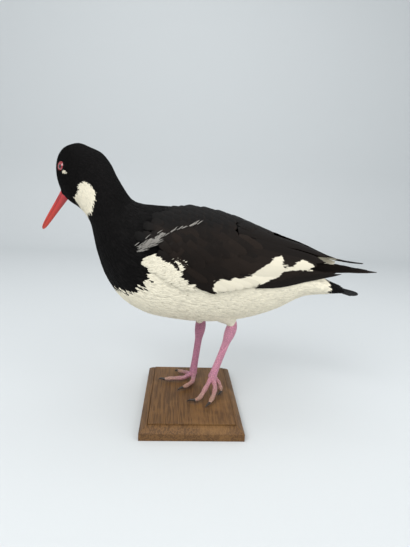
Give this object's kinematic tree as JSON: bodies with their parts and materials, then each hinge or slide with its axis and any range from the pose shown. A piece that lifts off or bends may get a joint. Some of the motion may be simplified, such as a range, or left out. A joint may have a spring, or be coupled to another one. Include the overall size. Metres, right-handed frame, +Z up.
{
  "type": "mounted oystercatcher",
  "caption": "Life-size mounted oystercatcher in winter plumage, standing with its head bent down and turned aside, on a bevelled wooden base.",
  "frame": {"origin": "middle of the underside of the wooden base", "axes": "+Z up, the bird faces -X, its left side looks along -Y"},
  "size_m": [0.4012, 0.1539, 0.2863],
  "materials": {
    "wood": "satin varnish",
    "body_plumage": "soft feather",
    "head_plumage": "soft feather, slight gloss",
    "thigh_plumage": "soft feather",
    "wing_feathers": "matt feather",
    "tail_feathers": "matt feather",
    "bill": "satin horn, painted",
    "eye": "polished",
    "leg_skin": "painted, satin",
    "claw": "satin horn"
  },
  "bodies": {
    "root": {"stand_base": "wood", "torso": "body_plumage", "neck": "body_plumage", "head": "head_plumage", "left_thigh": "thigh_plumage", "right_thigh": "thigh_plumage", "left_wing": "wing_feathers", "right_wing": "wing_feathers", "tail": "tail_feathers", "upper_bill": "bill", "lower_bill": "bill", "left_eye": "eye", "right_eye": "eye", "left_shank": "leg_skin", "right_shank": "leg_skin", "left_foot": "leg_skin", "right_foot": "leg_skin", "left_claw_inner": "claw", "left_claw_middle": "claw", "left_claw_outer": "claw", "right_claw_inner": "claw", "right_claw_middle": "claw", "right_claw_outer": "claw"}
  },
  "joints": []
}
